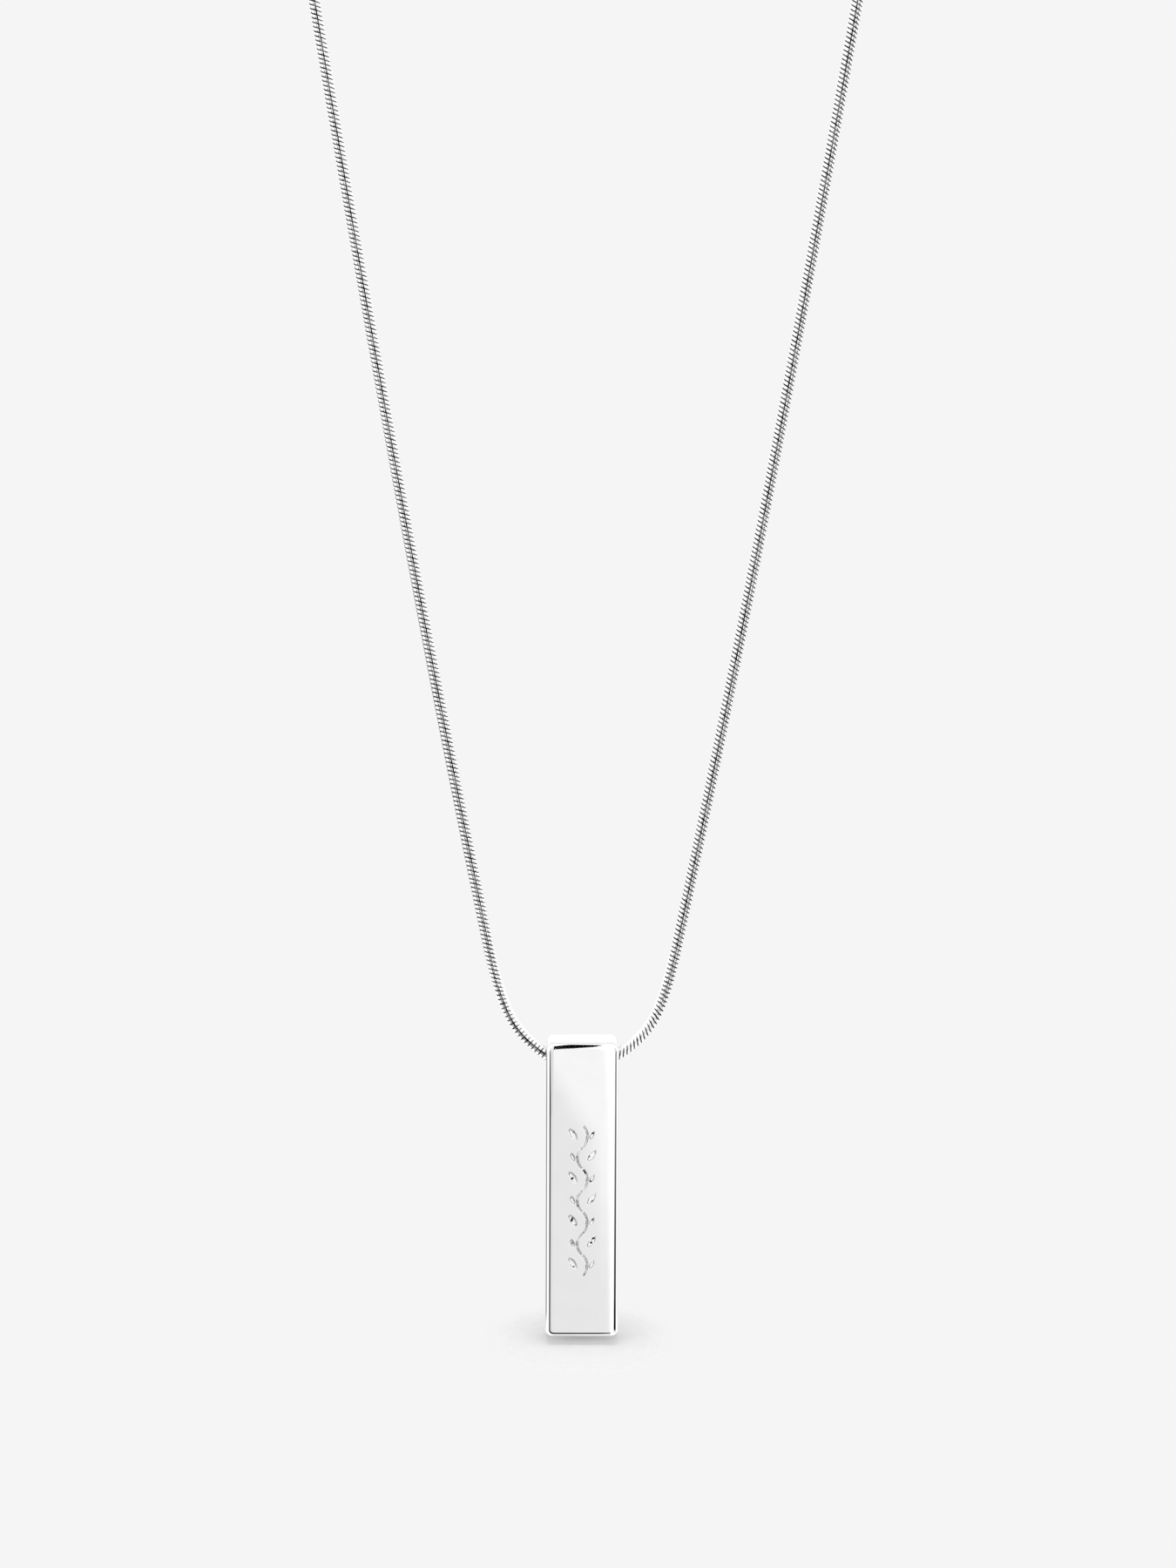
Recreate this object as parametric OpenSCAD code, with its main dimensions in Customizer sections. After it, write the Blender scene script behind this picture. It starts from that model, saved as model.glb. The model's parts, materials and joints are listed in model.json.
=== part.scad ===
// A bar pendant: a polished bar that is drilled across near its top and hangs
// on a fine snake chain. The chain is one whole loop, closed by a clasp at the
// nape of the neck.
// X runs to the wearer's left as seen from the front, Y away from the viewer
// and Z up. The origin lies on the inner side of the loop, under the clasp.

/* [Bar] */
// Width of the bar across its engraved front
bar_w = 7.35; // [6.8:0.05:7.6]
// Depth of the bar from front to back
bar_d = 6; // [5.6:0.1:6.6]
// Height of the bar
bar_h = 30; // [28:0.5:34]
// Radius of the four corners of the front outline
corner_r = 0.7; // [0.6:0.05:1]
// Radius of the long upright edges
edge_r = 0.5; // [0.4:0.05:0.7]
// Radius of the front and back edges along the top and the bottom
rim_r = 0.6; // [0.5:0.05:0.7]
// Diameter of the cross hole
hole_d = 2.5; // [2.4:0.05:2.7]
// Distance from the top of the bar down to the axis of the hole
hole_drop = 2.2; // [2.1:0.05:2.4]
// Radius of the rounded mouths of the hole
mouth_r = 0.25; // [0.2:0.05:0.3]

/* [Engraving] */
// Depth of the engraved lines
engrave_depth = 0.12; // [0.08:0.01:0.2]
// Width of the vine's stem
stem_w = 0.26; // [0.2:0.01:0.32]
// Number of half waves in the vine
stem_waves = 7; // [5:1:8]
// Length of one half wave along the bar
stem_step = 2.2; // [2.1:0.05:2.3]
// Distance from the top of the bar down to the start of the vine
vine_drop = 8.4; // [8:0.1:10]

/* [Chain] */
// Outer diameter of the chain
chain_d = 1.15; // [1.05:0.05:1.2]
// Gap left where the hole's ceiling bears on the chain
bearing_gap = 0.06; // [0.04:0.01:0.1]

/* [Clasp and rings] */
// Radius of the clasp's claw, from its centre to the middle of its wire
claw_r = 2.1; // [2:0.05:2.3]
// Diameter of the claw's wire
claw_wire_d = 1.4; // [1.2:0.1:1.5]
// Radius of the clasp's eye, to the middle of its wire
eye_r = 0.95; // [0.9:0.05:1.05]
// Diameter of the eye's wire
eye_wire_d = 0.8; // [0.7:0.05:0.8]
// Radius of a jump ring, to the middle of its wire
ring_r = 1.6; // [1.55:0.05:1.75]
// Diameter of a jump ring's wire
ring_wire_d = 0.7; // [0.6:0.05:0.7]
// Radius of the loop on an end cap, to the middle of its wire
cap_loop_r = 0.85; // [0.8:0.05:0.95]
// Diameter of the wire of an end cap's loop
cap_wire_d = 0.6; // [0.5:0.05:0.6]
// Outer diameter of an end cap
cap_d = 2; // [1.9:0.05:2.1]
// Length of an end cap without its loop
cap_len = 4; // [3.8:0.1:4.4]
// Gap between two linked wires, and round the chain in its cap
play = 0.06; // [0.05:0.01:0.08]

/* [Hidden] */
$fn = 64;

silver = [0.86, 0.86, 0.87];
dark_silver = [0.66, 0.67, 0.69];
cut_margin = 5;

// Vine: the half angle of each arc, the gap at each end of it, and the leaves
// of one half wave: x, height above its middle, turn, length, width
stem_sweep = 50;
stem_gap = 5;
leaves = [
    [-0.95, 0.25, 125, 1.45, 0.6],
    [0.98, 0.12, 65, 1, 0.42]
];

// Clasp: the middle of the last wire that hangs in it, on either side
link_x = 4.1;
claw_x = link_x - (claw_r - claw_wire_d / 2 - ring_wire_d / 2 - play);
eye_x = -link_x + (eye_r - eye_wire_d / 2 - ring_wire_d / 2 - play);
barrel_r = [0.8, 1.2];
barrel_x = [eye_x + eye_r + 0.1, claw_x - claw_r + 0.2];
lever_d = 1;
lever_reach = 0.8;
lever_angle = 125;
clasp_z = claw_r + claw_wire_d / 2;

// End pieces, measured outwards from the wire that hangs in the clasp
end_slope = 14;
cap_loop_x = 2 * ring_r + cap_loop_r - cap_wire_d / 2 - ring_wire_d / 2 - play;
cap_x = cap_loop_x + cap_loop_r + 0.15;
cap_wall = 1;
cap_bore_d = chain_d + 4 * play;
chain_end_x = cap_x + cap_wall + 0.15;
straight_end_x = cap_x + cap_len + 1;

// Half of the chain's route, from the middle of the hole up to the arc at the
// nape: x, height above the hole's axis, and heading in degrees from +X.
// Rounded sizes of a strand that hangs in a long narrow V.
mouth_heading = 34;
mouth_out = 0.2;
mouth_x = bar_w / 2 + mouth_out;
mouth_h = hole_d / 2 - bearing_gap - chain_d / 2 / cos(mouth_heading)
    + (mouth_r + mouth_out) * tan(mouth_heading);
sag_h = mouth_h - mouth_x * tan(mouth_heading / 2);
strand = [
    [0, sag_h, 0],
    [mouth_x, mouth_h, mouth_heading],
    [7.2, 4.3, 62],
    [8.5, 7.7, 73.5],
    [9.6, 12.3, 78.3],
    [24.15, 90.3, 80.3],
    [35.6, 160, 81]
];
// Steps between rings of the tube in each stretch of the strand, and in the arc
strand_steps = [3, 4, 3, 3, 8, 6];
arc_steps = 10;
tube_sides = 8;

arc_start = strand[len(strand) - 1];
arc_r = (arc_start.x - link_x - straight_end_x * cos(end_slope))
    / (sin(arc_start[2]) - sin(end_slope));
arc_centre = [arc_start.x - arc_r * sin(arc_start[2]), arc_start.y + arc_r * cos(arc_start[2])];
link_h = arc_centre.y + arc_r * cos(end_slope) + straight_end_x * sin(end_slope);
hole_z = clasp_z - link_h;
bar_top = hole_z + hole_drop;

function unit(angle) = [cos(angle), sin(angle)];
function hermite(a, b, u) =
    let (p = [a.x, a.y], q = [b.x, b.y], reach = norm(q - p))
    p * (2 * u ^ 3 - 3 * u ^ 2 + 1) + unit(a[2]) * reach * (u ^ 3 - 2 * u ^ 2 + u)
    + q * (3 * u ^ 2 - 2 * u ^ 3) + unit(b[2]) * reach * (u ^ 3 - u ^ 2);
function strand_points() = [
    for (i = [0 : len(strand_steps) - 1])
        for (k = [0 : strand_steps[i] - 1])
            hermite(strand[i], strand[i + 1], k / strand_steps[i])
];
function arc_points() = [
    for (k = [0 : arc_steps])
        let (heading = arc_start[2] + (180 - end_slope - arc_start[2]) * k / arc_steps)
        arc_centre + arc_r * [sin(heading), -cos(heading)]
];
function end_point() =
    [link_x + chain_end_x * cos(end_slope), link_h - chain_end_x * sin(end_slope)];
function half_route() = concat(strand_points(), arc_points(), [end_point()]);
function mirrored(points) = [for (i = [len(points) - 1 : -1 : 1]) [-points[i].x, points[i].y]];
function whole_route() = let (half = half_route()) concat(mirrored(half), half);

function heading_at(route, i) =
    let (step = route[min(i + 1, len(route) - 1)] - route[max(i - 1, 0)])
    step / norm(step);
function tube_ring(route, i) =
    let (along = heading_at(route, i))
    [for (k = [0 : tube_sides - 1])
        let (a = 360 * (k + 0.5) / tube_sides, r = chain_d / 2)
        [route[i].x - along.y * r * cos(a), r * sin(a), route[i].y + along.x * r * cos(a)]];
function ring_start(i) = i * tube_sides;

module tube(route) {
    last = len(route) - 1;
    points = [for (i = [0 : last]) each tube_ring(route, i)];
    walls = [
        for (i = [0 : last - 1])
            for (k = [0 : tube_sides - 1])
                let (next = (k + 1) % tube_sides)
                [ring_start(i) + k, ring_start(i) + next,
                 ring_start(i + 1) + next, ring_start(i + 1) + k]
    ];
    caps = [
        [for (k = [tube_sides - 1 : -1 : 0]) k],
        [for (k = [0 : tube_sides - 1]) ring_start(last) + k]
    ];
    polyhedron(points, concat(walls, caps));
}

module rounded_rectangle(width, height, r) {
    for (x = [-1, 1], y = [-1, 1])
        translate([x * (width / 2 - r), y * (height / 2 - r)]) circle(r);
    square([width - 2 * r, height], center = true);
    square([width, height - 2 * r], center = true);
}

// Three outlines, pushed along the three axes, cut each other to the bar
module bar_body() {
    long = bar_h + 2 * cut_margin;
    intersection() {
        rotate([90, 0, 0])
            linear_extrude(long, center = true) rounded_rectangle(bar_w, bar_h, corner_r);
        linear_extrude(long, center = true) rounded_rectangle(bar_w, bar_d, edge_r);
        rotate([90, 0, 90])
            linear_extrude(long, center = true) rounded_rectangle(bar_d, bar_h, rim_r);
    }
}

module cross_hole() {
    half = bar_w / 2;
    wide = hole_d / 2 + mouth_r;
    rotate([0, 90, 0])
        rotate_extrude()
            difference() {
                translate([0, -half - cut_margin])
                    square([wide, bar_w + 2 * cut_margin]);
                translate([hole_d / 2, -half + mouth_r])
                    square([2 * mouth_r, bar_w - 2 * mouth_r]);
                for (side = [-1, 1])
                    translate([wide, side * (half - mouth_r)]) circle(mouth_r);
            }
}

module arc_line(r, width, from, to) {
    intersection() {
        difference() {
            circle(r + width / 2);
            circle(r - width / 2);
        }
        polygon([[0, 0], 2 * r * unit(from), 2.5 * r * unit((from + to) / 2), 2 * r * unit(to)]);
    }
}

module leaf(length, width) {
    // A leaf is where two circles overlap
    r = (length ^ 2 + width ^ 2) / (4 * width);
    intersection() {
        translate([0, r - width / 2]) circle(r);
        translate([0, width / 2 - r]) circle(r);
    }
}

// A running vine: arcs that bend left and right by turns, a leaf in each bend
module vine() {
    r = stem_step / 2 / sin(stem_sweep);
    drawn = stem_sweep - stem_gap;
    for (i = [0 : stem_waves - 1])
        translate([0, -(i + 0.5) * stem_step])
            mirror([i % 2, 0]) {
                translate([-r * cos(stem_sweep), 0]) arc_line(r, stem_w, -drawn, drawn);
                for (row = leaves)
                    translate([row[0], row[1]]) rotate(row[2]) leaf(row[3], row[4]);
            }
}

module bar() {
    color(silver)
        difference() {
            translate([0, 0, bar_top - bar_h / 2]) bar_body();
            translate([0, 0, hole_z]) cross_hole();
            translate([0, engrave_depth - bar_d / 2, bar_top - vine_drop])
                rotate([90, 0, 0]) linear_extrude(cut_margin) vine();
        }
}

module chain() {
    color(dark_silver) translate([0, 0, hole_z]) tube(whole_route());
}

// Right end: +X runs outwards along the last straight of the chain
module at_right_end() {
    translate([link_x, 0, clasp_z]) rotate([0, end_slope, 0]) children();
}

module wire_ring(r, wire_d) {
    rotate_extrude() translate([r, 0]) circle(wire_d / 2);
}

module end_cap() {
    difference() {
        union() {
            translate([cap_loop_x, 0, 0]) rotate([90, 0, 0]) wire_ring(cap_loop_r, cap_wire_d);
            translate([cap_x, 0, 0]) rotate([0, 90, 0]) cylinder(h = cap_len, d = cap_d);
        }
        translate([cap_x + cap_wall, 0, 0]) rotate([0, 90, 0]) cylinder(h = cap_len, d = cap_bore_d);
    }
}

module jump_ring() {
    translate([ring_r, 0, 0]) wire_ring(ring_r, ring_wire_d);
}

module end_cap_left() {
    color(silver) mirror([1, 0, 0]) at_right_end() end_cap();
}

module end_cap_right() {
    color(silver) at_right_end() end_cap();
}

module jump_ring_left() {
    color(silver) mirror([1, 0, 0]) at_right_end() jump_ring();
}

module jump_ring_right() {
    color(silver) at_right_end() jump_ring();
}

// A lobster claw shut round its ring: eye, barrel, claw and the stub of a lever
module clasp() {
    color(silver) translate([0, 0, clasp_z]) {
        translate([eye_x, 0, 0]) rotate([90, 0, 0]) wire_ring(eye_r, eye_wire_d);
        translate([barrel_x[0], 0, 0]) rotate([0, 90, 0])
            cylinder(h = barrel_x[1] - barrel_x[0], r1 = barrel_r[0], r2 = barrel_r[1]);
        translate([claw_x, 0, 0]) {
            rotate([90, 0, 0]) wire_ring(claw_r, claw_wire_d);
            rotate([0, 90 - lever_angle, 0]) translate([0, 0, claw_r])
                cylinder(h = claw_wire_d / 2 + lever_reach, d = lever_d);
        }
    }
}

bar();
chain();
end_cap_left();
end_cap_right();
jump_ring_left();
jump_ring_right();
clasp();
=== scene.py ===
import json
import math

import bmesh
import bpy
from mathutils import Matrix, Vector


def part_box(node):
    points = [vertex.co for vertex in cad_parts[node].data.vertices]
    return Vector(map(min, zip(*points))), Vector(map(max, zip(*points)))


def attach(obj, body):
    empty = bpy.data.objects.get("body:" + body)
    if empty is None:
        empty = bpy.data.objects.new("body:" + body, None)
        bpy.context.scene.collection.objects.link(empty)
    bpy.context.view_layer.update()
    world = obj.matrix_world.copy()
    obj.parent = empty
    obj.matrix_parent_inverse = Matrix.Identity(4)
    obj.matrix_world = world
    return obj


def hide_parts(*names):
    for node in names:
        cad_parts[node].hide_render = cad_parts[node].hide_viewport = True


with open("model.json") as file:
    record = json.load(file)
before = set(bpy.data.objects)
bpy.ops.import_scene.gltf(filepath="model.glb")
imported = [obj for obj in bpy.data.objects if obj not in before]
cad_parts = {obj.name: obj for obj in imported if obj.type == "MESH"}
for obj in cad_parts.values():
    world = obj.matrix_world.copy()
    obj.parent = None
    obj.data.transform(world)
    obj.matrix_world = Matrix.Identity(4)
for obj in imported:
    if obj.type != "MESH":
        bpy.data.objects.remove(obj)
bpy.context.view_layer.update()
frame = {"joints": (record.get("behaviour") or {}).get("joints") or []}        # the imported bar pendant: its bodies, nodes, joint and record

mm = 0.001
close = 0.001            # millimetres within which places count as the same
holeZ = frame["joints"][0]["pos_m"][2] / mm      # height of the cross hole, in millimetres
print("frame loaded, cross hole at", round(holeZ, 2), "mm")


# Node maths written as Python expressions
class Wire:
    def __init__(self, tree, socket):
        self.tree = tree
        self.socket = socket

    def math(self, operation, *others):
        return self.tree.add("ShaderNodeMath", {"operation": operation}, self, *others)

    def __add__(self, other):
        return self.math("ADD", other)

    def __radd__(self, other):
        return self.math("ADD", other)

    def __sub__(self, other):
        return self.math("SUBTRACT", other)

    def __rsub__(self, other):
        return self.tree.add("ShaderNodeMath", {"operation": "SUBTRACT"}, other, self)

    def __mul__(self, other):
        return self.math("MULTIPLY", other)

    def __rmul__(self, other):
        return self.math("MULTIPLY", other)

    def __truediv__(self, other):
        return self.math("DIVIDE", other)

    def __abs__(self):
        return self.math("ABSOLUTE")

    def step(self, low, high):
        # 0 below low, 1 above high and smooth between them
        settings = {"interpolation_type": "SMOOTHSTEP"}
        return self.tree.add("ShaderNodeMapRange", settings, self, low, high, 0.0, 1.0)

    def band(self, low, high, soft):
        return self.step(low, low + soft) * (1.0 - self.step(high - soft, high))


class Tree:
    def __init__(self, owner):
        owner.use_nodes = True
        self.nodes = owner.node_tree.nodes
        self.links = owner.node_tree.links
        self.nodes.clear()

    def set(self, socket, value):
        if isinstance(value, Wire):
            self.links.new(value.socket, socket)
        else:
            socket.default_value = value

    def add(self, kind, settings, *values, out=0, **named):
        node = self.nodes.new(kind)
        for name, value in settings.items():
            setattr(node, name, value)
        for place, value in enumerate(values):
            self.set(node.inputs[place], value)
        for name, value in named.items():
            self.set(node.inputs[name.replace("_", " ")], value)
        return Wire(self, node.outputs[out])

    def mixColour(self, amount, first, second):
        node = self.nodes.new("ShaderNodeMix")
        node.data_type = "RGBA"
        for place, value in ((0, amount), (6, first), (7, second)):
            self.set(node.inputs[place], value)
        return Wire(self, node.outputs[2])

    def split(self, vector):
        node = self.nodes.new("ShaderNodeSeparateXYZ")
        self.links.new(vector.socket, node.inputs[0])
        return [Wire(self, out) for out in node.outputs]

    def finish(self, kind, wire):
        output = self.nodes.new(kind)
        self.links.new(wire.socket, output.inputs[0])


def grey(level):
    return (level, level, level, 1.0)


def smoothStep(low, high, value):
    u = min(max((value - low) / (high - low), 0.0), 1.0)
    return u * u * (3 - 2 * u)


def makeObject(bm, name):
    # Turns a bmesh in millimetres into a smooth object in metres
    bmesh.ops.scale(bm, vec=(mm, mm, mm), verts=bm.verts)
    mesh = bpy.data.meshes.new(name)
    bm.to_mesh(mesh)
    bm.free()
    for polygon in mesh.polygons:
        polygon.use_smooth = True
    thing = bpy.data.objects.new(name, mesh)
    bpy.context.scene.collection.objects.link(thing)
    return thing


# Studio: a white tent with dark flags in front, all in the world, and a pale floor

studio = {
    "paper": 0.913,          # the pale ground of the photograph
    "light": 1.12,           # brightness of the white tent
    "lampLight": 10.5,       # and of the soft lamp in its roof
    "lampAcross": 0.18,      # sine of the lamp's half angle to the side
    "lampAlong": 0.3,        # and to the front
    "lampBack": 0.1,         # it hangs a little behind the bar
    "lampEdge": (0.7, 1.2),
    "lowLight": 11.5,        # a low light in front, which reaches under the bar
    "lowLightBand": (4, 28, 6),
    "lowLightSides": (50, 70),
    # The white card in front, in degrees. Its right edge and its lower shade slant by so much
    # for each degree of height above its middle.
    "cardMiddle": -9.4,
    "cardLeft": (-13, -11),
    "cardRight": (2.9, 3.5),
    "cardRightSlant": 0.1,
    "cardGrey": 0.107,       # how much darker than the tent it is,
    "cardGreyLeft": 0.09,    # more so on its left
    "cardLeftShade": (-7, -1.5),
    "cardGreyLow": 0.123,    # and towards its lower left
    "cardLowShade": (-1.9, 1.4),
    "cardLowSlant": 1.6,
    # another card behind, which gives the back of the bar its tone
    "rearGrey": 0.17,
    "rearGreyDrop": 0.2,
    "rearSides": (145, 165),
    "rearTop": (-3, 3),
    "floorShade": 0.432,
    "floorGap": 0.85,        # millimetres under the bar
    "floorRadius": 400.0,
    "fadeStart": 9.0,        # where the floor's shadow starts to fade into the paper
    "fadeEnd": 18.0,         # and where it is gone, in millimetres behind the bar
    "fadeNarrow": 1.7,       # it is this much narrower to the sides
    "fadeLeast": 0.15,       # how much of the paper shows in its middle
}

# The dark flags. Three numbers are low edge, high edge and softness, two are the start and end
# of a step. Azimuth is in degrees from straight ahead to the right, elevation up from level.
flags = {
    "arcCentre": 0.2,                   # how far below level the two arcs have their centre
    "leftArc": (0.19, 0.69, 0.05),      # inner and outer radius of the left arc, as sines
    "leftFaintFrom": (8, 14),           # fainter above these angles about the centre
    "leftFaint": 0.7,
    "leftEnd": (48, 60),                # and gone above these
    "rightInner": (0.4, 0.45),          # the right arc lies further out, and more so when high
    "rightOuter": (0.91, 0.96),
    "rightHigh": (-13, -9),             # elevations at which its high part begins
    "rightHighShift": 0.1,
    "rightHighFaint": 0.25,
    "rightArc": (-34, 48, 5),           # its two ends, as angles about the centre
    "rightFull": (-9, 9, 4),            # it is darkest here
    "rightLeast": 0.35,
    "belowAcross": (-34, 5.5, 2),       # azimuths of the flag below the card
    "belowUp": (-60, -22, 4),           # and its elevations
    "cameraLeft": (-0.054, -0.05),      # the camera's own dark shape, by the sine to the side
    "cameraLeftLean": 0.00024,
    "cameraRight": (0.035, 0.039),
    "cameraFoot": (8.5, 10.5),          # its foot rises to the right
    "cameraFootRise": 300.0,
    "cameraFootRight": 250.0,
    "cameraFootEnd": (0.032, 3000.0),   # and more steeply from here
    "cameraBrow": (72, 76),
    "cameraBrowLeft": 1200.0,
    "cameraBrowRight": 300.0,
    "leftSeam": (-162, -96, 8),         # weaker seams of the tent at the sides
    "rightSeam": (118, 150, 6),
    "seamUp": (-15, -8, 1.5),
    "roofSeamBack": (120, 140),         # and in the roof behind
    "roofSeamUp": (28, 70, 4),
    "strength": {"left": 0.95, "below": 0.97, "leftSeam": 0.7, "rightSeam": 0.3, "roof": 0.35},
}


class Direction:
    # Where a ray of the world points: sines x, y and z, and its angles in degrees
    def __init__(self, tree):
        self.x, self.y, self.z = tree.split(tree.add("ShaderNodeTexCoord", {}))
        self.azimuth = self.x.math("ARCTAN2", self.y * -1.0) * math.degrees(1)
        self.elevation = self.z.math("ARCSINE") * math.degrees(1)
        self.side = abs(self.azimuth)
        self.ahead = 1.0 - self.y.step(-0.1, 0)
        self.toLeft = 1.0 - self.x.step(-0.03, 0)
        self.toRight = self.x.step(0, 0.03)


def arcFlags(ray):
    # Two arcs of dark flags, to the left and the right of the front card
    f = flags
    lift = ray.z + f["arcCentre"]
    reach = (ray.x * ray.x + lift * lift).math("SQRT")
    around = lift.math("ARCTAN2", abs(ray.x)) * math.degrees(1)
    left = reach.band(*f["leftArc"]) * ray.ahead * ray.toLeft
    left = left * (1.0 - around.step(*f["leftFaintFrom"]) * f["leftFaint"])
    left = left * (1.0 - around.step(*f["leftEnd"]))
    high = ray.elevation.step(*f["rightHigh"])
    right = (reach - high * f["rightHighShift"]).step(*f["rightInner"])
    right = right * (1.0 - reach.step(*f["rightOuter"])) * ray.ahead * ray.toRight
    right = right * around.band(*f["rightArc"]) * (1.0 - high * f["rightHighFaint"])
    right = right * (f["rightLeast"] + around.band(*f["rightFull"]) * (1 - f["rightLeast"]))
    return left, right


def cameraFlag(ray):
    f = flags
    toRight = ray.x.math("MAXIMUM", 0.0)
    foot = ray.elevation - ray.x * f["cameraFootRise"] - toRight * f["cameraFootRight"]
    bend, steepness = f["cameraFootEnd"]
    foot = foot - (ray.x - bend).math("MAXIMUM", 0.0) * steepness
    brow = ray.elevation - ray.x.math("MINIMUM", 0.0) * f["cameraBrowLeft"]
    brow = brow + toRight * f["cameraBrowRight"]
    across = (ray.x - ray.elevation * f["cameraLeftLean"]).step(*f["cameraLeft"])
    across = across * (1.0 - ray.x.step(*f["cameraRight"]))
    return across * foot.step(*f["cameraFoot"]) * (1.0 - brow.step(*f["cameraBrow"])) * ray.ahead


def allFlags(ray):
    f = flags
    strength = f["strength"]
    left, right = arcFlags(ray)
    below = ray.azimuth.band(*f["belowAcross"]) * ray.elevation.band(*f["belowUp"])
    leftSeam = ray.azimuth.band(*f["leftSeam"]) * ray.elevation.band(*f["seamUp"])
    rightSeam = ray.azimuth.band(*f["rightSeam"]) * ray.elevation.band(*f["seamUp"])
    roofSeam = ray.side.step(*f["roofSeamBack"]) * ray.elevation.band(*f["roofSeamUp"])
    dark = cameraFlag(ray).math("MAXIMUM", right)
    for part, name in ((left, "left"), (below, "below"), (leftSeam, "leftSeam"),
                       (rightSeam, "rightSeam"), (roofSeam, "roof")):
        dark = dark.math("MAXIMUM", part * strength[name])
    return dark


def whiteCards(ray):
    # How much darker than the tent the two cards are
    s = studio
    height = ray.elevation - s["cardMiddle"]
    slanted = ray.azimuth + height * s["cardRightSlant"]
    card = ray.azimuth.step(*s["cardLeft"]) * (1.0 - slanted.step(*s["cardRight"]))
    fade = s["cardGrey"] + (1.0 - ray.azimuth.step(*s["cardLeftShade"])) * s["cardGreyLeft"]
    slanted = ray.azimuth + height * s["cardLowSlant"]
    fade = fade + (1.0 - slanted.step(*s["cardLowShade"])) * s["cardGreyLow"]
    rear = ray.side.step(*s["rearSides"]) * (1.0 - ray.elevation.step(*s["rearTop"]))
    return card * fade + rear * (s["rearGrey"] - ray.z * s["rearGreyDrop"])


def lamps(ray):
    s = studio
    # the lamp in the roof is long from front to back
    across = ray.x / s["lampAcross"]
    along = (ray.y - s["lampBack"]) / s["lampAlong"]
    spread = (across * across + along * along).math("SQRT")
    roof = (1.0 - spread.step(*s["lampEdge"])) * ray.z.step(0, 0.1) * s["lampLight"]
    low = ray.elevation.band(*s["lowLightBand"]) * (1.0 - ray.side.step(*s["lowLightSides"]))
    return roof + low * s["lowLight"]


def buildWorld():
    world = bpy.data.worlds.new("studioTent")
    bpy.context.scene.world = world
    tree = Tree(world)
    ray = Direction(tree)
    # the lamps stay out of the mirror images, where their glare would eat into fine dark lines
    seen = tree.add("ShaderNodeLightPath", {})
    mirrored = tree.add("ShaderNodeLightPath", {}, out=3)
    tent = (1.0 - whiteCards(ray)) * studio["light"] + lamps(ray) * (1.0 - mirrored)
    level = (1.0 - allFlags(ray)) * tent
    shade = level * (1.0 - seen) + seen * studio["paper"]
    tree.finish("ShaderNodeOutputWorld", tree.add("ShaderNodeBackground", {}, Color=grey(1.0),
                                                   Strength=shade))


def buildFloor():
    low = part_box("bar")[0]
    s = studio
    bm = bmesh.new()
    bmesh.ops.create_circle(bm, cap_ends=True, segments=96, radius=s["floorRadius"])
    drop = low.z / mm - s["floorGap"]
    bmesh.ops.translate(bm, vec=(0, 0, drop), verts=bm.verts)
    floor = makeObject(bm, "floor")
    floor.visible_glossy = False
    material = bpy.data.materials.new("paleFloor")
    tree = Tree(material)
    x, y, z = tree.split(tree.add("ShaderNodeTexCoord", {}, out=3))
    narrow = x * s["fadeNarrow"]
    reach = (narrow * narrow + y * y).math("SQRT")
    far = reach.step(s["fadeStart"] * mm, s["fadeEnd"] * mm)
    far = far * (1 - s["fadeLeast"]) + s["fadeLeast"]
    shader = tree.add("ShaderNodeMixShader", {}, far,
                      tree.add("ShaderNodeBsdfDiffuse", {}, Color=grey(s["floorShade"])),
                      tree.add("ShaderNodeBsdfTransparent", {}))
    tree.finish("ShaderNodeOutputMaterial", shader)
    floor.data.materials.append(material)


view = {
    "distance": 500.0,       # millimetres
    "pitch": 6.5,            # how far the camera looks down, in degrees
    "turn": -0.8,
    "roll": 0.2,
    "lens": 114.5,
    "sensor": 36.0,
    "aimRight": 0.485,       # from the cross hole to the middle of the picture
    "aimUp": 28.04,
}


def buildCamera():
    data = bpy.data.cameras.new("camera")
    data.lens = view["lens"]
    data.sensor_width = view["sensor"]
    data.clip_start = 0.01
    camera = bpy.data.objects.new("camera", data)
    bpy.context.scene.collection.objects.link(camera)
    aim = Matrix.Translation(Vector((view["aimRight"], 0, holeZ + view["aimUp"])) * mm)
    turn = Matrix.Rotation(math.radians(view["turn"]), 4, "Z")
    tilt = Matrix.Rotation(math.radians(90 - view["pitch"]), 4, "X")
    roll = Matrix.Rotation(math.radians(view["roll"]), 4, "Z")
    back = Matrix.Translation((0, 0, view["distance"] * mm))
    camera.matrix_world = aim @ turn @ tilt @ back @ roll
    bpy.context.scene.camera = camera


scene = bpy.context.scene
scene.view_settings.view_transform = "Standard"
scene.view_settings.look = "None"
buildWorld()
buildCamera()
buildFloor()
print("studio built")


# Silver finishes

silver = {
    "clean": (0.93, 0.93, 0.928, 1.0),
    "dull": (0.905, 0.905, 0.902, 1.0),
    # near black: oxide with painted shade in the chain's slots, painted shade on the engraving's
    # walls, and a painted dark reflection along the chain's seam
    "groove": (0.004, 0.004, 0.0045, 1.0),
    # roughness of each finish, and the scale and depth of its scratches
    "barSilver": (0.03, 9000.0, 0.02),
    "chainSilver": (0.09, 7000.0, 0.1),
    "fittingSilver": (0.07, 6000.0, 0.12),
    "cutRoughness": 0.1,     # added in the vine's cuts
    "grooveRoughness": 0.4,  # and in the chain's slots
    "cloudScale": 420.0,     # of the noises, per metre
    "patchScale": 2600.0,
    "strokeScale": 2400.0,
    "stippleScale": 16000.0,
}


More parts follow.
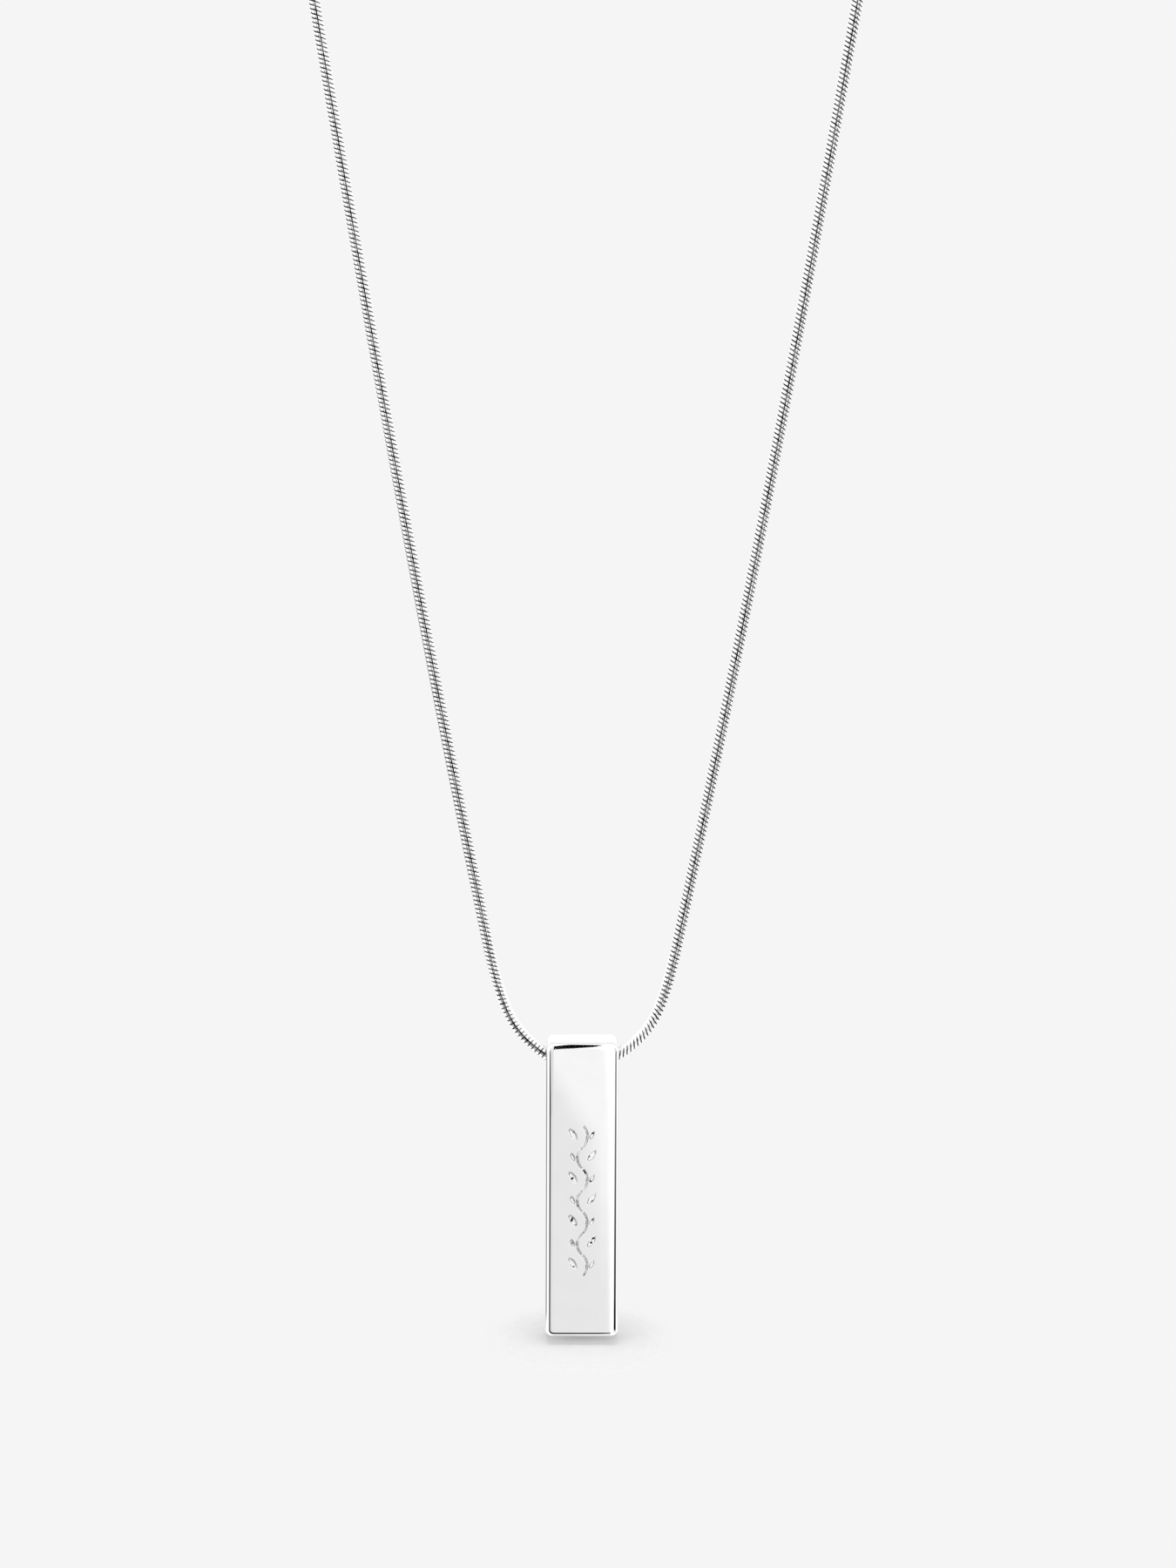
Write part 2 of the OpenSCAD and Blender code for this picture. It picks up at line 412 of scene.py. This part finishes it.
def silverMaterial(name):
    # Polished silver: faint clouds, fine random scratches and slightly uneven gloss
    roughness, scratchScale, scratchDepth = silver[name]
    material = bpy.data.materials.new(name)
    tree = Tree(material)
    place = tree.add("ShaderNodeTexCoord", {}, out=3)
    clouds = tree.add("ShaderNodeTexNoise", {}, Vector=place, Scale=silver["cloudScale"],
                      Detail=3.0)
    grain = tree.add("ShaderNodeTexNoise", {}, Vector=place, Scale=scratchScale, Detail=4.0)
    colour = tree.mixColour(clouds.step(0.35, 0.8), silver["clean"], silver["dull"])
    gloss = roughness * 0.7 + clouds * (roughness * 0.6)
    bump = tree.add("ShaderNodeBump", {}, Strength=scratchDepth, Distance=0.01 * mm,
                    Height=grain)
    return material, tree, place, colour, gloss, bump


def finishSilver(tree, colour, gloss, bump):
    shader = tree.add("ShaderNodeBsdfPrincipled", {}, Base_Color=colour, Metallic=1.0,
                      Roughness=gloss, Normal=bump)
    tree.finish("ShaderNodeOutputMaterial", shader)


def barSilver():
    material, tree, place, colour, gloss, bump = silverMaterial("barSilver")
    cut = tree.add("ShaderNodeAttribute", {"attribute_name": "cut"}, out=2)
    # the cut's walls are painted near black as shade, patchy in places, and some strokes are
    # painted dark right across as shade
    patchNoise = tree.add("ShaderNodeTexNoise", {}, Vector=place, Scale=silver["patchScale"],
                       Detail=1.0)
    strokes = tree.add("ShaderNodeTexNoise", {}, Vector=place, Scale=silver["strokeScale"],
                       Detail=0.0)
    colour = tree.mixColour(cut * 0.75, colour, silver["dull"])
    patchiness = patchNoise.step(0.42, 0.58) * 0.5 + 0.3
    wall = (cut.band(0.08, 0.85, 0.2) * patchiness).math("MAXIMUM", cut * strokes.step(0.62, 0.68))
    # painted shade: the cut's walls and the chosen strokes are darkened towards near black
    colour = tree.mixColour(wall, colour, silver["groove"])
    gloss = gloss + cut * silver["cutRoughness"]
    stipple = tree.add("ShaderNodeTexVoronoi", {}, Vector=place, Scale=silver["stippleScale"])
    bump = tree.add("ShaderNodeBump", {}, Strength=cut * 0.2, Distance=0.02 * mm,
                    Height=stipple, Normal=bump)
    finishSilver(tree, colour, gloss, bump)
    return material


def chainSilver():
    material, tree, place, colour, gloss, bump = silverMaterial("chainSilver")
    groove = tree.add("ShaderNodeAttribute", {"attribute_name": "groove"}, out=2)
    patchiness = tree.add("ShaderNodeTexNoise", {}, Vector=place, Scale=silver["patchScale"],
                    Detail=1.0)
    # darkens the slots with oxide and painted shade, and the seam with a painted dark reflection,
    # a little patchy
    depth = groove.step(0.04, 0.3) * (0.9 + patchiness.step(0.4, 0.6) * 0.1)
    colour = tree.mixColour(depth, colour, silver["groove"])
    finishSilver(tree, colour, gloss + depth * silver["grooveRoughness"], bump)
    return material


def fittingSilver():
    material, tree, place, colour, gloss, bump = silverMaterial("fittingSilver")
    finishSilver(tree, colour, gloss, bump)
    return material


# Bar

bar = {
    "width": 7.35,
    "depth": 6.0,
    "height": 30.0,
    "cornerRadius": 0.7,     # of the four corners seen from the front
    "edgeRadius": 0.5,       # and of the edges round the front and the back
    "roundSteps": 7,
    "holeDrop": 2.2,         # from the top of the bar to the cross hole's axis
    "holeRadius": 1.25,
    "mouthRadius": 0.25,
    "mouthSteps": 6,
    "frontCrown": 0.05,      # how far polishing draws the faces in towards their edges
    "sideCrown": 0.04,
    "topRoll": 0.1,          # and the front near its top
    "topRollLength": 9.0,
    "lipStretch": 0.25,      # and its rounded upper edge made longer
    "lipEnd": (0.5, 0.8),    # down to here below the top
    "nearHole": (1.6, 2.4),  # the polish begins this far from the middle of the depth
    # where the faces are divided, so that they curve evenly
    "rowDrops": (0.8, 1.2, 1.7, 2.3, 3.1, 4, 5, 6, 7),
    "columns": (-2.9, -2.55, -2.2, 2.2, 2.55, 2.9),
    "patchColumns": (-1.5, -1.1, -0.7, -0.3, 0.1, 0.5, 0.9, 1.3, 1.7),
    "depthRows": (-1.7, 1.7),
    "sharpAngle": 50.0,
}

vine = {
    "drop": 8.4,             # from the top of the bar to the first arc
    "step": 2.2,             # height of one arc
    "waves": 7,
    "sweep": 50.0,           # half angle of an arc, in degrees
    "gap": 5.0,              # left out at each end of it
    "stem": 0.26,
    "depth": 0.12,
    "wall": 0.1,             # width of the sloping walls
    "leaves": [
        # x, height above the middle, turn, length, width
        (-0.95, 0.25, 125, 1.45, 0.6),
        (0.98, 0.12, 65, 1.0, 0.42),
    ],
    "halfWidth": 1.9,        # of the fine patch that carries it
    "margin": 0.5,
    "cell": 0.04,
    "patchFoot": 1.8,        # a last row of faces below the patch
}
barTop = holeZ + bar["holeDrop"]
barMiddle = barTop - bar["height"] / 2


def stemDistance(x, z):
    # How far a point lies outside the stem, in one half wave
    radius = vine["step"] / 2 / math.sin(math.radians(vine["sweep"]))
    fromCentre = x + radius * math.cos(math.radians(vine["sweep"]))
    turn = math.degrees(math.atan2(z, fromCentre))
    past = max(abs(turn) - (vine["sweep"] - vine["gap"]), 0) * math.pi / 180 * radius
    return math.hypot(math.hypot(fromCentre, z) - radius, past * 2) - vine["stem"] / 2


def leafDistance(x, z, row):
    leafX, leafUp, turn, length, width = row
    angle = math.radians(turn)
    along = (x - leafX) * math.cos(angle) + (z - leafUp) * math.sin(angle)
    across = abs((z - leafUp) * math.cos(angle) - (x - leafX) * math.sin(angle))
    radius = (length ** 2 + width ** 2) / (4 * width)
    return math.hypot(along, across + radius - width / 2) - radius


def vineDepth(x, z):
    down = barTop - vine["drop"] - z
    deepest = 0.0
    for wave in range(vine["waves"]):
        up = (wave + 0.5) * vine["step"] - down
        if abs(up) > vine["step"]:
            continue
        local = -x if wave % 2 else x
        outside = min([stemDistance(local, up)]
                      + [leafDistance(local, up, row) for row in vine["leaves"]])
        deepest = max(deepest, smoothStep(0, vine["wall"], -outside))
    return deepest


def spinProfile(profile, steps=48):
    # Turns a closed profile of (along, radius) points round the X axis
    bm = bmesh.new()
    corners = [bm.verts.new((along, 0, radius)) for along, radius in profile]
    edges = [bm.edges.new((corners[i], corners[(i + 1) % len(corners)]))
             for i in range(len(corners))]
    bmesh.ops.spin(bm, geom=corners + edges, cent=(0, 0, 0), axis=(1, 0, 0),
                   angle=2 * math.pi, steps=steps, use_merge=True)
    bmesh.ops.remove_doubles(bm, verts=bm.verts, dist=0.0005)
    bmesh.ops.recalc_face_normals(bm, faces=bm.faces)
    return bm


def combine(bm, other, operation):
    # Boolean of two bmeshes in millimetres, with the exact solver
    things = []
    for source, name in ((bm, "kept"), (other, "tool")):
        mesh = bpy.data.meshes.new(name)
        source.to_mesh(mesh)
        source.free()
        thing = bpy.data.objects.new(name, mesh)
        bpy.context.scene.collection.objects.link(thing)
        things.append(thing)
    modifier = things[0].modifiers.new("join", "BOOLEAN")
    modifier.operation = operation
    modifier.solver = "EXACT"
    modifier.object = things[1]
    graph = bpy.context.evaluated_depsgraph_get()
    result = bmesh.new()
    result.from_mesh(things[0].evaluated_get(graph).to_mesh())
    for thing in things:
        mesh = thing.data
        bpy.data.objects.remove(thing)
        bpy.data.meshes.remove(mesh)
    return result


def holeCutter():
    # The cross hole with its two rounded mouths
    half = bar["width"] / 2
    radius = bar["holeRadius"]
    mouth = bar["mouthRadius"]
    right = []
    for i in range(bar["mouthSteps"] + 1):
        angle = math.pi / 2 * i / bar["mouthSteps"]
        right.append((half - mouth + mouth * math.sin(angle),
                      radius + mouth - mouth * math.cos(angle)))
    right.append((half + 1, radius + mouth))
    left = [(-along, r) for along, r in reversed(right)]
    profile = [(half + 1, 0), (-half - 1, 0)] + left + right
    bm = spinProfile(profile)
    bmesh.ops.translate(bm, vec=(0, 0, holeZ), verts=bm.verts)
    return bm


def roundedBar():
    bm = bmesh.new()
    bmesh.ops.create_cube(bm, size=1.0)
    bmesh.ops.scale(bm, vec=(bar["width"], bar["depth"], bar["height"]), verts=bm.verts)
    corners = [e for e in bm.edges
               if abs(e.verts[0].co.x - e.verts[1].co.x) < close
               and abs(e.verts[0].co.z - e.verts[1].co.z) < close]
    bmesh.ops.bevel(bm, geom=corners, offset=bar["cornerRadius"], segments=bar["roundSteps"],
                    profile=0.5, affect="EDGES", material=-1)
    half = bar["depth"] / 2
    rims = [e for e in bm.edges
            if all(abs(v.co.y + half) < close for v in e.verts)
            or all(abs(v.co.y - half) < close for v in e.verts)]
    bmesh.ops.bevel(bm, geom=rims, offset=bar["edgeRadius"], segments=bar["roundSteps"],
                    profile=0.5, affect="EDGES", material=-1)
    bmesh.ops.translate(bm, vec=(0, 0, barMiddle), verts=bm.verts)
    return bm


def cutRows(bm, normal, places):
    for place in places:
        bmesh.ops.bisect_plane(bm, geom=bm.verts[:] + bm.edges[:] + bm.faces[:],
                               plane_co=Vector(normal) * place, plane_no=normal, dist=0.0001)


def polishFaces(bm):
    # Long polishing leaves each face slightly crowned, and the top drawn in.
    # The cross hole stays round and the sides flat.
    flat = bar["depth"] / 2 - bar["edgeRadius"]
    for vert in bm.verts:
        x, y, z = vert.co.x, vert.co.y, vert.co.z
        outside = smoothStep(*bar["nearHole"], abs(y))
        nearTop = max(1 - (barTop - z) / bar["topRollLength"], 0)
        drawnIn = bar["frontCrown"] * (x / bar["width"] * 2) ** 2 + bar["topRoll"] * nearTop ** 2
        vert.co.y = y * (1 - outside * drawnIn / (bar["depth"] / 2))
        deep = barTop - z
        stretch = outside * bar["lipStretch"] * (1 - smoothStep(*bar["lipEnd"], deep))
        vert.co.z = barTop - deep * (1 + stretch)
        across = max(abs(y), flat) / bar["depth"] * 2
        vert.co.x = x * (1 - bar["sideCrown"] / (bar["width"] / 2) * across ** 2)


def isFront(edge, wide):
    return all(v.co.y < close - bar["depth"] / 2 and abs(v.co.x) < wide + close
               for v in edge.verts)


def buildBar():
    bm = combine(roundedBar(), holeCutter(), "DIFFERENCE")
    high = barTop - vine["drop"] + vine["margin"]
    low = barTop - vine["drop"] - vine["waves"] * vine["step"] - vine["margin"]
    wide = vine["halfWidth"]
    rows = [barTop - drop for drop in bar["rowDrops"]] + [high, low, low - vine["patchFoot"]]
    cutRows(bm, (0, 0, 1), rows)
    cutRows(bm, (1, 0, 0), sorted(bar["columns"] + (-wide, wide)))
    cutRows(bm, (0, 1, 0), bar["depthRows"])
    bm.normal_update()
    patch = [f for f in bm.faces if f.normal.y < -0.99
             and abs(f.calc_center_median().x) < wide
             and low < f.calc_center_median().z < high]
    edges = {e for f in patch for e in f.edges}
    across = [e for e in edges if abs(e.verts[0].co.z - e.verts[1].co.z) < close]
    bmesh.ops.subdivide_edges(bm, edges=across, cuts=round(2 * wide / vine["cell"]) - 1,
                              use_grid_fill=True)
    columns = [e for e in bm.edges if isFront(e, wide)
               and abs(abs(e.verts[0].co.z - e.verts[1].co.z) - (high - low)) < close]
    bmesh.ops.subdivide_edges(bm, edges=columns, cuts=round((high - low) / vine["cell"]) - 1,
                              use_grid_fill=True)
    # columns round the patch, so that the front and its edges curve evenly
    for place in bar["patchColumns"]:
        plain = [f for f in bm.faces if not all(isFront(e, wide) for e in f.edges)
                 or not low < f.calc_center_median().z < high]
        geometry = plain + list({e for f in plain for e in f.edges})
        geometry += list({v for f in plain for v in f.verts})
        bmesh.ops.bisect_plane(bm, geom=geometry, plane_co=(place, 0, 0), plane_no=(1, 0, 0),
                               dist=close)
    cut = bm.verts.layers.float.new("cut")
    front = [v for v in bm.verts if v.co.y < close - bar["depth"] / 2
             and abs(v.co.x) < wide - close and low + close < v.co.z < high - close]
    for vert in front:
        vert[cut] = vineDepth(vert.co.x, vert.co.z)
    polishFaces(bm)
    for vert in front:
        vert.co.y += vert[cut] * vine["depth"]
    thing = makeObject(bm, "bar_with_vine")
    thing.data.set_sharp_from_angle(angle=math.radians(bar["sharpAngle"]))
    weighted = thing.modifiers.new("weightedNormals", "WEIGHTED_NORMAL")
    weighted.keep_sharp = True
    thing.data.materials.append(barSilver())
    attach(thing, "pendant")
    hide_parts("bar")
    print("bar built:", len(thing.data.polygons), "faces")


buildBar()


# Chain

chain = {
    "radius": 0.575,
    "pitch": 0.445,
    "grooveDepth": 0.03,
    "seamDepth": 0.03,
    # the seam is a painted dark reflection with a small dip in the chain's shape
    "seamShade": [1.0, 0.85, 0.75, 0.85],    # of the seam, for each row of a link
    "seamFlank": 0.11,       # how dark a wide seam is beside its middle
    "columns": [0, 8, 20, 38, 58, 82, 110, 144],    # degrees round the chain, on one half
    "rows": [0.0, 0.22, 0.5, 0.78],          # places of the rows along a link
    "crest": [1.0, 0.3, 0.0, 0.3],           # and how deep each lies
    "slotEnd": 10.0,         # how gently a slot ends, in degrees round the chain
    # The links turn as the chain bends, and the painted dark seam and slots change along it. Each
    # row: distance from the middle of the bar, lean of the slots along the chain, width of the
    # seam and of the slots, the seam's turn towards the inside of the loop, and how far the slots
    # reach to the outer and to the inner side.
    "leftLinks": [
        (3, 0.0, 2.4, 0.9, -2, 62, 60),
        (6, 0.0, 2.4, 0.75, -2, 50, 44),
        (10.5, 0.05, 2.4, 0.75, -2, 50, 40),
        (12.5, 0.5, 0.25, 0.95, 0, 54, 40),
        (17, 0.5, 0.5, 1.0, 4, 60, 54),
        (22, 0.48, 1.5, 1.0, 6, 68, 60),
    ],
    "rightLinks": [
        (3, 0.8, 0.0, 1.0, -10, 60, 34),
        (8, 0.55, 0.0, 1.0, -8, 60, 36),
        (12.5, 0.15, 0.6, 1.0, -4, 62, 52),
        (20, 0.44, 1.3, 0.92, 0, 64, 62),
    ],
    # the slots are oxide with painted shade; on the left strand the painted shade is fainter on
    # the inner side
    "innerShade": 0.55,      # the left strand's slots are fainter on the inner side
}

# Sizes of the fittings, the same as those of the part's solids
nape = {
    "slope": 14.0,           # of the chain's ends, in degrees
    "play": 0.06,            # air between pieces that hang in one another
    "ringRadius": 1.6,       # jump rings
    "ringWire": 0.7,
    "loopRadius": 0.85,      # loops soldered to the caps
    "loopWire": 0.6,
    "loopShank": 0.15,
    "capWidth": 2.0,
    "capLength": 4.0,
    "capWall": 1.0,          # between the loop's end and the bore
    "capEdge": 0.22,         # radius of the rounded edge at the loop's end
    "boreEdge": 0.14,        # and of those at the bore's end
    "endPlay": 0.15,         # from the chain's end to the bottom of the bore
    "linkX": 4.1,            # half the distance between the clasp's two links
    "clawRadius": 2.1,
    "clawWire": 1.4,
    "gateNotches": (75.0, -30.0),
    "notchDepth": 0.07,
    "notchWidth": (1.5, 4),  # degrees along the claw
    "eyeRadius": 0.95,
    "eyeWire": 0.8,
    "barrelRadii": (0.8, 1.2),
    "barrelEdges": (0.25, 0.3),
    "leverWidth": 1.0,
    "leverReach": 0.8,
    "leverAngle": 125.0,
    "leverEdge": 0.3,
    "sharpAngle": 40.0,
}

# Half of the route: x, height above the hole's axis, heading in degrees from +X.
# The same sizes as the tube's in the part's source.
mouthHeading = 34.0
mouthOut = 0.2               # the row at the mouth lies this far outside the bar
mouthPlay = 0.06             # air between the chain and the mouth's edge
mouthX = bar["width"] / 2 + mouthOut
mouthH = (bar["holeRadius"] - mouthPlay - chain["radius"] / math.cos(math.radians(mouthHeading))
          + (bar["mouthRadius"] + mouthOut) * math.tan(math.radians(mouthHeading)))
sagH = mouthH - mouthX * math.tan(math.radians(mouthHeading / 2))
strand = [
    (0, sagH, 0),
    (mouthX, mouthH, mouthHeading),
    (7.2, 4.3, 62),
    (8.5, 7.7, 73.5),
    (9.6, 12.3, 78.3),
    (24.15, 90.3, 80.3),
    (35.6, 160, 81),
]
strandSteps = [16, 16, 12, 12, 60, 50]
arcSteps = 60                # of the arc round the nape
capLoopX = (2 * nape["ringRadius"] + nape["loopRadius"] - nape["loopWire"] / 2
            - nape["ringWire"] / 2 - nape["play"])
capX = capLoopX + nape["loopRadius"] + nape["loopShank"]
chainEndX = capX + nape["capWall"] + nape["endPlay"]
straightEndX = capX + nape["capLength"] + 1      # the chain leaves its cap straight
clawTop = nape["clawRadius"] + nape["clawWire"] / 2


def unit(degrees):
    return Vector((math.cos(math.radians(degrees)), math.sin(math.radians(degrees))))


def hermite(a, b, u):
    start, end = Vector(a[:2]), Vector(b[:2])
    reach = (end - start).length
    return (start * (2 * u ** 3 - 3 * u ** 2 + 1) + unit(a[2]) * reach * (u ** 3 - 2 * u ** 2 + u)
            + end * (3 * u ** 2 - 2 * u ** 3) + unit(b[2]) * reach * (u ** 3 - u ** 2))


def chainRoute():
    half = []
    for i, steps in enumerate(strandSteps):
        half += [hermite(strand[i], strand[i + 1], k / steps) for k in range(steps)]
    startX, startH, startHeading = strand[-1]
    slope = nape["slope"]
    arcRadius = ((startX - nape["linkX"] - straightEndX * unit(slope).x)
                 / (unit(startHeading).y - unit(slope).y))
    centre = Vector((startX - arcRadius * unit(startHeading).y,
                     startH + arcRadius * unit(startHeading).x))
    for k in range(arcSteps + 1):
        heading = startHeading + (180 - slope - startHeading) * k / arcSteps
        half.append(centre + arcRadius * Vector((unit(heading).y, -unit(heading).x)))
    linkH = centre.y + arcRadius * unit(slope).x + straightEndX * unit(slope).y
    half.append(Vector((nape["linkX"] + chainEndX * unit(slope).x,
                        linkH - chainEndX * unit(slope).y)))
    left = [Vector((-p.x, p.y)) for p in reversed(half[1:])]
    return left + half


def linkForm(rows, away):
    # The values of the table rows at this distance, without the distance itself
    for before, after in zip(rows, rows[1:]):
        if away < after[0]:
            part = max((away - before[0]) / (after[0] - before[0]), 0)
            return [a + (b - a) * part for a, b in zip(before[1:], after[1:])]
    return rows[-1][1:]


def buildChain():
    route = chainRoute()
    lengths = [0.0]
    for a, b in zip(route, route[1:]):
        lengths.append(lengths[-1] + (b - a).length)
    total = lengths[-1]
    links = round(total / chain["pitch"])
    turns = (chain["columns"] + [180]
             + [360 - turn for turn in reversed(chain["columns"][1:])])
    rowCount = links * len(chain["rows"])
    bm = bmesh.new()
    bmesh.ops.create_grid(bm, x_segments=rowCount, y_segments=len(turns), size=0.5)
    groove = bm.verts.layers.float.new("groove")
    step = 0
    for vert in sorted(bm.verts, key=lambda v: v.co.x):
        row = round((vert.co.x + 0.5) * rowCount)
        column = round((vert.co.y + 0.5) * len(turns)) % len(turns)
        link, place = divmod(row, len(chain["rows"]))
        turn = turns[column]
        along = min(max((link + chain["rows"][place]) / links * total, 0), total)
        isLeft = along < total / 2
        table = chain["leftLinks"] if isLeft else chain["rightLinks"]
        away = abs(along - total / 2)
        lean, seam, slot, seamTurn, outer, inner = linkForm(table, away)
        angle = math.radians(turn + seamTurn)
        aside = (turn + 90) % 180 - 90
        end = chain["slotEnd"]
        facing = smoothStep(-outer - end, -outer + end, aside)
        facing *= smoothStep(inner + end, inner - end, aside)
        shade = chain["innerShade"] if isLeft and aside > 0 else 1.0
        onSeam = seam * chain["seamShade"][place] if turn in (0, 180) else 0.0
        if abs(aside) == chain["columns"][1]:
            onSeam = max(seam - 1, 0) * chain["seamFlank"]
        dip = chain["crest"][place] * chain["grooveDepth"] * (0.3 + 0.7 * facing)
        radius = chain["radius"] - dip - onSeam * chain["seamDepth"]
        # where the chain is painted dark: oxide and painted shade in the slots, and a painted
        # dark reflection along the seam
        vert[groove] = max((place == 0) * facing * shade * slot, onSeam)
        shifted = along + lean * chain["radius"] * math.sin(angle)
        shifted = min(max(shifted, 0), total)
        while step > 0 and lengths[step] > shifted:
            step -= 1
        while step < len(lengths) - 2 and lengths[step + 1] < shifted:
            step += 1
        part = (shifted - lengths[step]) / (lengths[step + 1] - lengths[step])
        middle = route[step].lerp(route[step + 1], part)
        before = route[max(step - 1, 0)]
        after = route[min(step + 2, len(route) - 1)]
        early = (route[step + 1] - before).normalized()
        late = (after - route[step]).normalized()
        heading = early.lerp(late, part).normalized()
        inward = Vector((-heading.y, heading.x))
        spot = middle + inward * radius * math.sin(angle)
        vert.co = (spot.x, -radius * math.cos(angle), holeZ + spot.y)
    bmesh.ops.remove_doubles(bm, verts=bm.verts, dist=0.002)
    ends = [e for e in bm.edges if e.is_boundary]
    bmesh.ops.holes_fill(bm, edges=ends, sides=0)
    bmesh.ops.recalc_face_normals(bm, faces=bm.faces)
    thing = makeObject(bm, "snake_chain")
    thing.data.materials.append(chainSilver())
    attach(thing, "necklace")
    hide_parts("chain")
    print("chain built:", links, "links on", round(total, 1), "mm,",
          len(thing.data.polygons), "faces")


buildChain()


# Fittings at the nape

def arcPoints(along, radius, bend, start, end, steps=6):
    # Part of a circle in a profile for spinProfile, from start to end in degrees
    turns = [math.radians(start + (end - start) * i / steps) for i in range(steps + 1)]
    return [(along + bend * math.cos(turn), radius + bend * math.sin(turn)) for turn in turns]


def wireRing(radius, wire, steps=64):
    # A closed ring of round wire, with its axis along Y
    bm = spinProfile(arcPoints(0, radius, wire / 2, 0, 340, 17), steps)
    bmesh.ops.rotate(bm, matrix=Matrix.Rotation(math.radians(90), 3, "Z"), verts=bm.verts)
    return bm


def moved(bm, x, z=0.0):
    bmesh.ops.translate(bm, vec=(x, 0, z), verts=bm.verts)
    return bm


def endCap():
    # A drilled cap with rounded edges, and its soldered loop
    outer = nape["capWidth"] / 2
    bore = chain["radius"] + 2 * nape["play"]
    far = capX + nape["capLength"]
    edge, mouth = nape["capEdge"], nape["boreEdge"]
    # the first points are the solder round the loop
    profile = [(capX - 0.2, 0), (capX - 0.2, 0.28), (capX - 0.08, 0.33), (capX, 0.45)]
    profile += arcPoints(capX + edge, outer - edge, edge, 180, 90)
    profile += arcPoints(far - mouth, outer - mouth, mouth, 90, 0)
    profile += arcPoints(far - mouth, bore + mouth, mouth, 0, -90)
    profile += [(capX + nape["capWall"], bore), (capX + nape["capWall"], 0)]
    loop = moved(wireRing(nape["loopRadius"], nape["loopWire"]), capLoopX)
    return combine(spinProfile(profile), loop, "UNION")


def jumpRing():
    bm = wireRing(nape["ringRadius"], nape["ringWire"])
    bmesh.ops.rotate(bm, matrix=Matrix.Rotation(math.radians(90), 3, "X"), verts=bm.verts)
    return moved(bm, nape["ringRadius"])


def placeAtEnd(bm, mirrored):
    # From the end's own axes, with +X outwards along the chain, to the necklace
    slope = Matrix.Rotation(math.radians(nape["slope"]), 3, "Y")
    bmesh.ops.rotate(bm, matrix=slope, verts=bm.verts)
    moved(bm, nape["linkX"], clawTop)
    if mirrored:
        bmesh.ops.scale(bm, vec=(-1, 1, 1), verts=bm.verts)
        bmesh.ops.recalc_face_normals(bm, faces=bm.faces)
    return bm


def lobsterClasp():
    # Eye, barrel, claw and thumb lever in one; two fine notches show where the gate shuts
    wire = nape["clawWire"]
    link = nape["ringWire"] / 2 + nape["play"]
    clawX = nape["linkX"] - (nape["clawRadius"] - wire / 2 - link)
    eyeX = -nape["linkX"] + (nape["eyeRadius"] - nape["eyeWire"] / 2 - link)
    start = eyeX + nape["eyeRadius"] + 0.1
    end = clawX - nape["clawRadius"] + 0.2
    thin, thick = nape["barrelRadii"]
    thinEdge, thickEdge = nape["barrelEdges"]
    claw = wireRing(nape["clawRadius"], wire, 180)
    for vert in claw.verts:
        spot = Vector((vert.co.x, vert.co.z))
        turn = math.degrees(math.atan2(spot.y, spot.x))
        core = spot.normalized() * nape["clawRadius"]
        near = min(abs(turn - notch) for notch in nape["gateNotches"])
        pinch = 1 - nape["notchDepth"] / wire * 2 * (1 - smoothStep(*nape["notchWidth"], near))
        vert.co = (core.x + (spot.x - core.x) * pinch, vert.co.y * pinch,
                   core.y + (spot.y - core.y) * pinch)
    barrel = [(start, 0)]
    barrel += arcPoints(start + thinEdge, thin - thinEdge, thinEdge, 180, 105)
    barrel += arcPoints(end - thickEdge, thick - thickEdge, thickEdge, 95, 0) + [(end, 0)]
    bm = combine(moved(claw, clawX), spinProfile(barrel), "UNION")
    bm = combine(bm, moved(wireRing(nape["eyeRadius"], nape["eyeWire"]), eyeX), "UNION")
    tip = nape["clawRadius"] + wire / 2 + nape["leverReach"]
    half = nape["leverWidth"] / 2
    edge = nape["leverEdge"]
    profile = [(nape["clawRadius"], 0), (nape["clawRadius"], half)]
    lever = spinProfile(profile + arcPoints(tip - edge, half - edge, edge, 90, 0) + [(tip, 0)])
    up = Matrix.Rotation(math.radians(-nape["leverAngle"]), 3, "Y")
    bmesh.ops.rotate(lever, matrix=up, verts=lever.verts)
    return moved(combine(bm, moved(lever, clawX), "UNION"), 0, clawTop)


def buildFittings():
    material = fittingSilver()
    pieces = [
        ("cap_left", "end_cap_left", placeAtEnd(endCap(), True)),
        ("cap_right", "end_cap_right", placeAtEnd(endCap(), False)),
        ("ring_left", "jump_ring_left", placeAtEnd(jumpRing(), True)),
        ("ring_right", "jump_ring_right", placeAtEnd(jumpRing(), False)),
        ("lobster_clasp", "clasp", lobsterClasp()),
    ]
    for name, node, bm in pieces:
        thing = makeObject(bm, name)
        thing.data.set_sharp_from_angle(angle=math.radians(nape["sharpAngle"]))
        thing.data.materials.append(material)
        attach(thing, "necklace")
        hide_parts(node)
        print(name, "built:", len(thing.data.polygons), "faces")


buildFittings()
